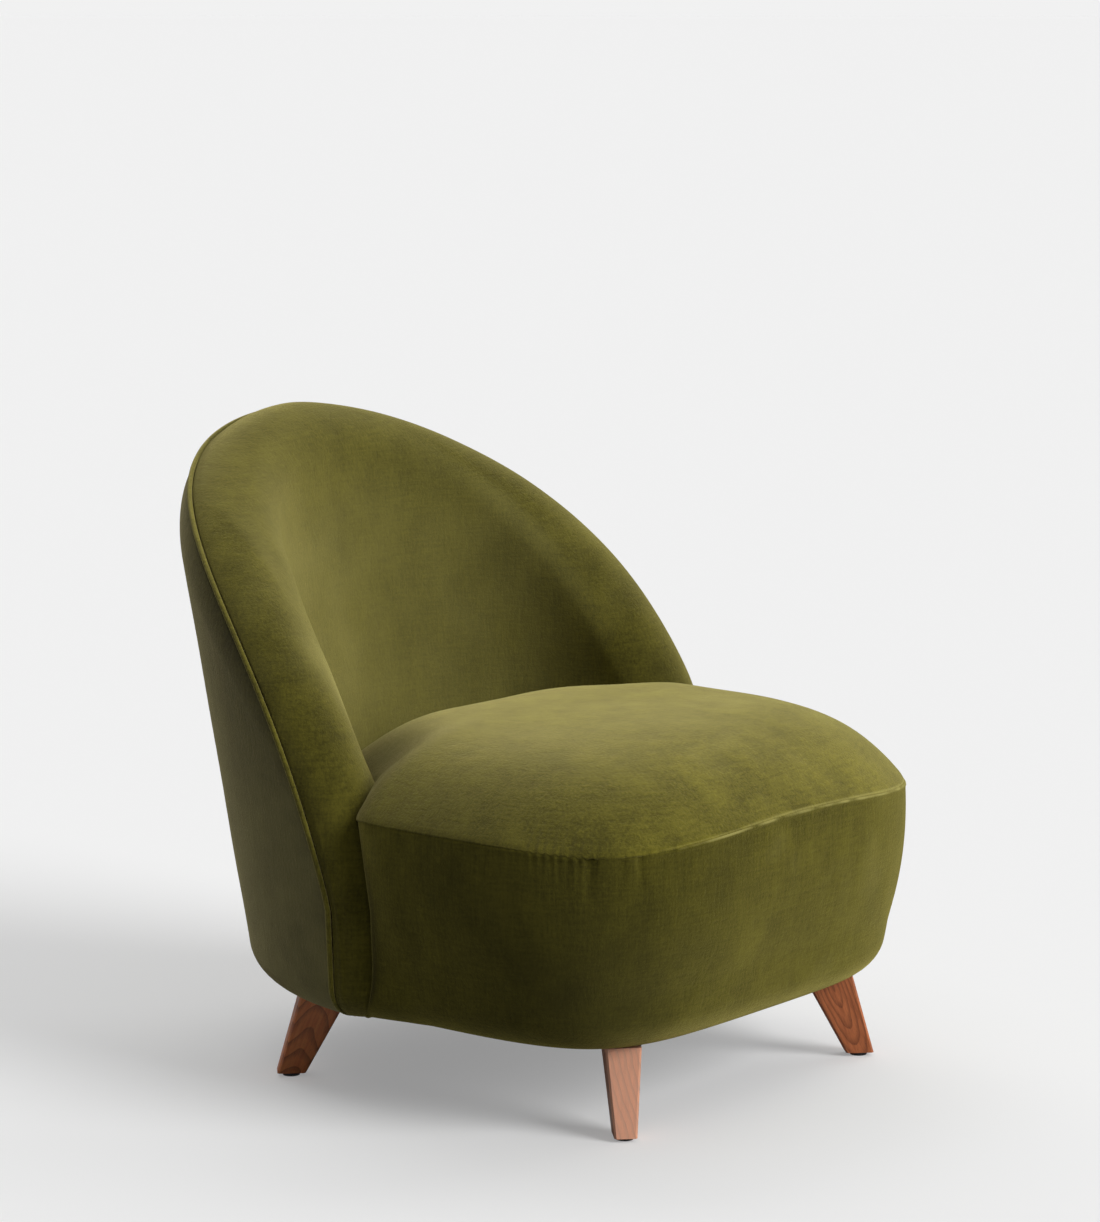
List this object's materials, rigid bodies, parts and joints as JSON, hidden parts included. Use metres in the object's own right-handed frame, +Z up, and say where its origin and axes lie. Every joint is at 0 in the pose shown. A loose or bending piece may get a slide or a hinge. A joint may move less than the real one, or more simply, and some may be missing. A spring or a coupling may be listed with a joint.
{
  "type": "tub chair",
  "caption": "Low upholstered tub chair: a crowned seat wrapped by a rounded, sloping back and arms, on splayed tapered wooden legs.",
  "frame": {"origin": "on the floor, below the middle of the chair's bounding box", "axes": "+Z up, the chair's front faces -Y, +X to the sitter's left"},
  "size_m": [0.7668, 0.8706, 0.7895],
  "materials": {
    "velvet": "matte",
    "foam": "matte",
    "felt": "matte",
    "webbing": "matte",
    "dust_cloth": "matte",
    "plywood": "matte",
    "timber": "matte",
    "fibreboard": "matte",
    "stained_wood": "satin",
    "steel": "satin",
    "black_plastic": "matte"
  },
  "bodies": {
    "root": {"base_frame": "plywood", "seat_frame": "plywood", "seat_studs": "timber", "spring_clips": "steel", "seat_springs": "steel", "tie_wires": "steel", "spring_pad": "felt", "seat_foam": "foam", "border_foam": "foam", "seat_cover": "velvet", "border_cover": "velvet", "back_hoop": "timber", "back_slats": "timber", "back_rail": "timber", "back_webbing": "webbing", "back_board": "fibreboard", "inside_back_foam": "foam", "outside_back_padding": "felt", "inside_back_cover": "velvet", "outside_back_cover": "velvet", "back_piping": "velvet", "dust_cover": "dust_cloth", "leg_front_left": "stained_wood", "leg_front_right": "stained_wood", "leg_rear_left": "stained_wood", "leg_rear_right": "stained_wood", "hanger_bolts": "steel", "tee_nuts": "steel", "glides": "black_plastic", "frame_screws": "steel"}
  },
  "joints": []
}
